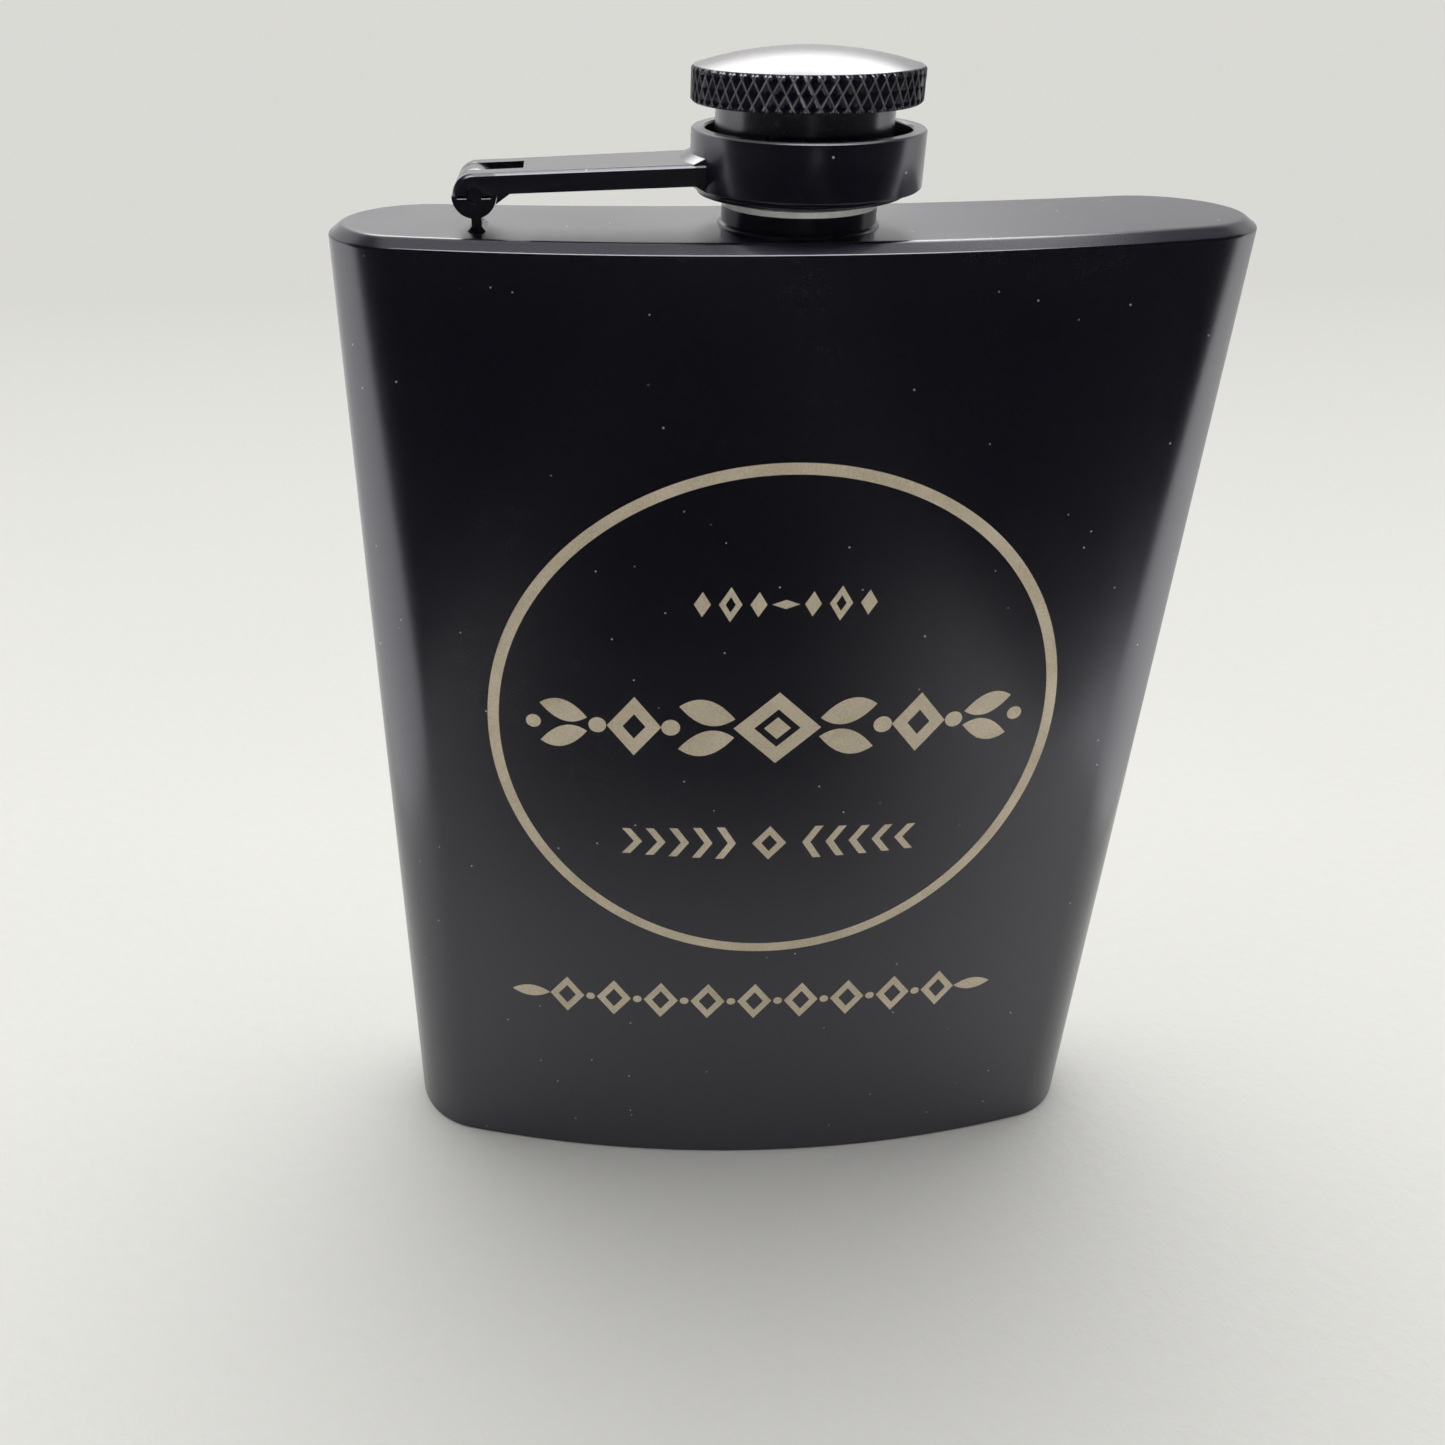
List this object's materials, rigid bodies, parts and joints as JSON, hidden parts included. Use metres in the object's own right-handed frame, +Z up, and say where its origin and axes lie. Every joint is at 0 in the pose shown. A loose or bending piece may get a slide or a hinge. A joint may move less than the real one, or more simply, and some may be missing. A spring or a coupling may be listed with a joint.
{
  "type": "hip flask",
  "caption": "Curved steel pocket flask for spirits, with a threaded neck and a knurled screw cap held captive in the collar of a hinged arm.",
  "frame": {"origin": "where the axis of the neck meets the plane that the flask stands on", "axes": "+Z up along the neck, +X along the width away from the hinge, -Y out of the convex front"},
  "size_m": [0.095, 0.0249, 0.1386],
  "materials": {
    "black_coat": "satin black coating on steel",
    "arm_coat": "satin black coating on a metal casting",
    "cap_coat": "satin black coating on turned steel",
    "bare_steel": "bare steel, finely brushed",
    "gasket_rubber": "matte translucent sealing rubber"
  },
  "bodies": {
    "flask": {"body_wrap": "black_coat", "wrap_seam_weld": "black_coat", "shoulder_plate": "black_coat", "shoulder_weld": "black_coat", "base_plate": "black_coat", "base_weld": "black_coat", "neck_tube": "black_coat", "neck_weld": "black_coat", "hinge_post": "black_coat", "hinge_post_weld": "black_coat"},
    "arm": {"captive_arm": "arm_coat", "hinge_pin": "arm_coat", "hinge_keeper_front": "arm_coat", "hinge_keeper_rear": "arm_coat"},
    "gasket": {"cap_gasket": "gasket_rubber"},
    "cap": {"cap_sleeve": "cap_coat", "cap_head": "cap_coat", "cap_retaining_flange": "cap_coat"}
  },
  "joints": [
    {"name": "arm_swing", "type": "hinge", "parent": "flask", "child": "arm", "pos_m": [-0.03195, 0, 0.1259], "axis": [0, -1, 0], "range_deg": [0, 183]},
    {"name": "cap_travel", "type": "slide", "parent": "arm", "child": "gasket", "axis": [0, 0, -1], "range_m": [0, 0.00225]},
    {"name": "cap_turn", "type": "hinge", "parent": "gasket", "child": "cap", "pos_m": [0, 0, 0.13], "axis": [0, 0, -1], "range_deg": [0, 540]}
  ],
  "couplings": [
    {"joint": "cap_travel", "follows": "cap_turn", "m_per_rad": 0.00023873}
  ]
}
